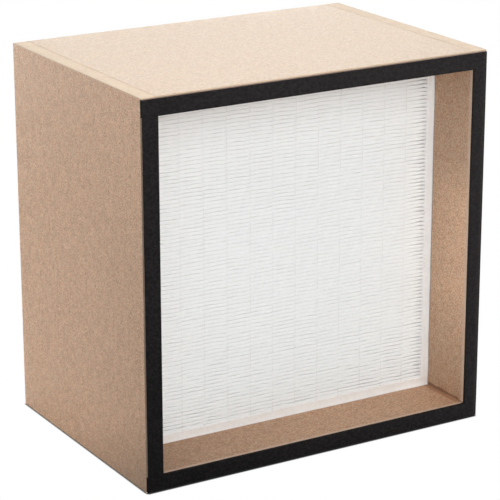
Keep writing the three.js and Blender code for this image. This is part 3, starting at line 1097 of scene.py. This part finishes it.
def build_object():
    """Every piece. The last number of each call is its seed."""
    board("left_board", 0, "edge_x", 1)
    board("right_board", 0, "edge_x", 2)
    board("top_board", 2, "edge_z", 3)
    board("bottom_board", 2, "edge_z", 4)
    for k, side in enumerate(FOAM_PLACES):
        gasket_strip(side, 10 + k)
    pleated_paper()
    for k, node in enumerate(n for n in sorted(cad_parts) if "_separator_" in n):
        separator(node, -1 if node.startswith("front") else 1, 200 + 5 * k)
    potting_frame()
    for k, node in enumerate(n for n in sorted(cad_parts) if "_glue_" in n):
        corner_glue(node, 600 + 10 * k)


# ---- floor, light and camera


def camera_sees(tree, output, other, seen):
    """The camera sees one shader, and all other light meets another."""
    either = tree.nodes.new("ShaderNodeMixShader")
    camera_ray = tree.nodes.new("ShaderNodeLightPath").outputs["Is Camera Ray"]
    tree.links.new(camera_ray, either.inputs["Fac"])
    tree.links.new(other, either.inputs[1])
    tree.links.new(seen, either.inputs[2])
    tree.links.new(either.outputs["Shader"], tree.nodes[output].inputs["Surface"])


def contact_shade(tree):
    """White away from the object, dark in the last few millimetres where the object meets the floor."""
    near = add_node(tree, "ShaderNodeAmbientOcclusion", samples=24, Distance=2.5 * MM)
    shade = [(0.46, 0.02), (0.62, 0.2), (0.8, 0.62), (0.93, 0.93), (1.0, 1.0)]
    return ramp(tree, near.outputs["AO"], shade)


FLOOR_HALF = 30


def floor():
    """A plain floor: even white where it is seen, an ordinary pale surface to the light it sends back."""
    corners = [(x * FLOOR_HALF, y * FLOOR_HALF, 0) for x, y in ((-1, -1), (1, -1), (1, 1), (-1, 1))]
    material, tree, shader = new_material("floor_white")
    shader.inputs["Base Color"].default_value = (0.8, 0.8, 0.8, 1)
    shader.inputs["Roughness"].default_value = 0.9
    seen = add_node(tree, "ShaderNodeEmission", Color=contact_shade(tree), Strength=1.0)
    camera_sees(tree, "Material Output", shader.outputs["BSDF"], seen.outputs["Emission"])
    obj = mesh_object("floor", corners, [(0, 1, 2, 3)], material, smooth=False)


DIM_SKY = 0.04


def studio_world():
    """White where the camera sees past the floor, almost dark otherwise."""
    world = bpy.data.worlds.new("studio")
    world.use_nodes = True
    tree = world.node_tree
    seen = tree.nodes["Background"]
    seen.inputs["Color"].default_value = (1, 1, 1, 1)
    seen.inputs["Strength"].default_value = 1.0
    dim = add_node(tree, "ShaderNodeBackground", Color=(1, 1, 1, 1), Strength=DIM_SKY)
    camera_sees(tree, "World Output", dim.outputs["Background"], seen.outputs["Background"])
    bpy.context.scene.world = world


LIGHT_TARGET = Vector((0, 0, 0.21))  # the object's middle


def soft_box(name, turn, rise, distance, width, height, radiance):
    """A rectangular soft box facing the object, turned from the front (-Y) round by the left (-X)."""
    turn, rise = math.radians(turn), math.radians(rise)
    outward = Vector((-math.sin(turn) * math.cos(rise), -math.cos(turn) * math.cos(rise), math.sin(rise)))
    light = bpy.data.lights.new(name, "AREA")
    light.shape = "RECTANGLE"
    light.size = width
    light.size_y = height
    light.energy = radiance * math.pi * width * height
    obj = bpy.data.objects.new(name, light)
    obj.location = LIGHT_TARGET + outward * distance
    obj.rotation_euler = (-outward).to_track_quat("-Z", "Y").to_euler()
    obj.visible_camera = False
    bpy.context.scene.collection.objects.link(obj)


def lights():
    """Soft boxes all round: each has its turn, rise, distance, width, height and radiance."""
    soft_box("front", 0, 32, 6, 3.0, 2.4, 3.14)
    soft_box("low_front", 0, 14, 6, 3.0, 2.0, 4.3)
    soft_box("near_low_front", 0, 16, 2.6, 1.3, 1.0, 1.3)
    soft_box("near_front", 0, 32, 2.6, 1.3, 1.0, 0.7)
    soft_box("sill_front", 5, -7, 1.1, 0.7, 0.1, 0.7)
    soft_box("low_front_left", 30, 16, 2.6, 1.3, 1.0, 1.2)
    soft_box("high_near_left", 45, 60, 1.2, 0.6, 0.6, 2.9)
    soft_box("far_left", 75, 14, 5, 2.5, 1.6, 0.4)
    soft_box("high_left", 90, 48, 2.6, 1.3, 1.3, 0.9)
    soft_box("near_rear_left", 135, 35, 1.1, 0.5, 0.5, 0.75)
    soft_box("near_low_rear_left", 155, 12, 0.9, 0.4, 0.4, 4.1)
    soft_box("low_rear_left", 150, 16, 2.6, 1.3, 1.0, 0.6)
    soft_box("low_rear", 180, 12, 3.5, 2.5, 0.8, 1.1)
    soft_box("low_rear_right", 210, 16, 2.6, 1.3, 1.0, 5.5)
    soft_box("far_right", 250, 40, 6, 3.0, 3.0, 2.6)
    soft_box("high_right", 250, 48, 2.6, 1.3, 1.3, 2.5)
    soft_box("mid_right", 250, 32, 2.6, 1.3, 1.0, 1.8)
    soft_box("low_right", 250, 16, 2.6, 1.3, 1.0, 0.8)


CAMERA_PLACE = (-1.21168, -2.03553, 0.95435)
CAMERA_TURN = 30.781  # degrees from +Y towards +X
CAMERA_DOWN = 17.833
CAMERA_ROLL = -0.1
CAMERA_LENS = 159.96
CAMERA_SENSOR = 36


def camera():
    """The camera at the photograph's viewing angle."""
    data = bpy.data.cameras.new("camera")
    data.sensor_width = CAMERA_SENSOR
    data.lens = CAMERA_LENS
    data.clip_end = 100
    obj = bpy.data.objects.new("camera", data)
    obj.location = CAMERA_PLACE
    aim = Euler((math.radians(90 - CAMERA_DOWN), 0, math.radians(-CAMERA_TURN))).to_matrix()
    obj.rotation_euler = (aim @ Matrix.Rotation(math.radians(CAMERA_ROLL), 3, "Z")).to_euler()
    bpy.context.scene.collection.objects.link(obj)
    bpy.context.scene.camera = obj


def colour_management():
    """Colours come out as lit, with no film look."""
    view = bpy.context.scene.view_settings
    view.view_transform = "Standard"
    view.look = "None"
    view.exposure = 0
    view.gamma = 1


build_object()
floor()
studio_world()
lights()
camera()
colour_management()
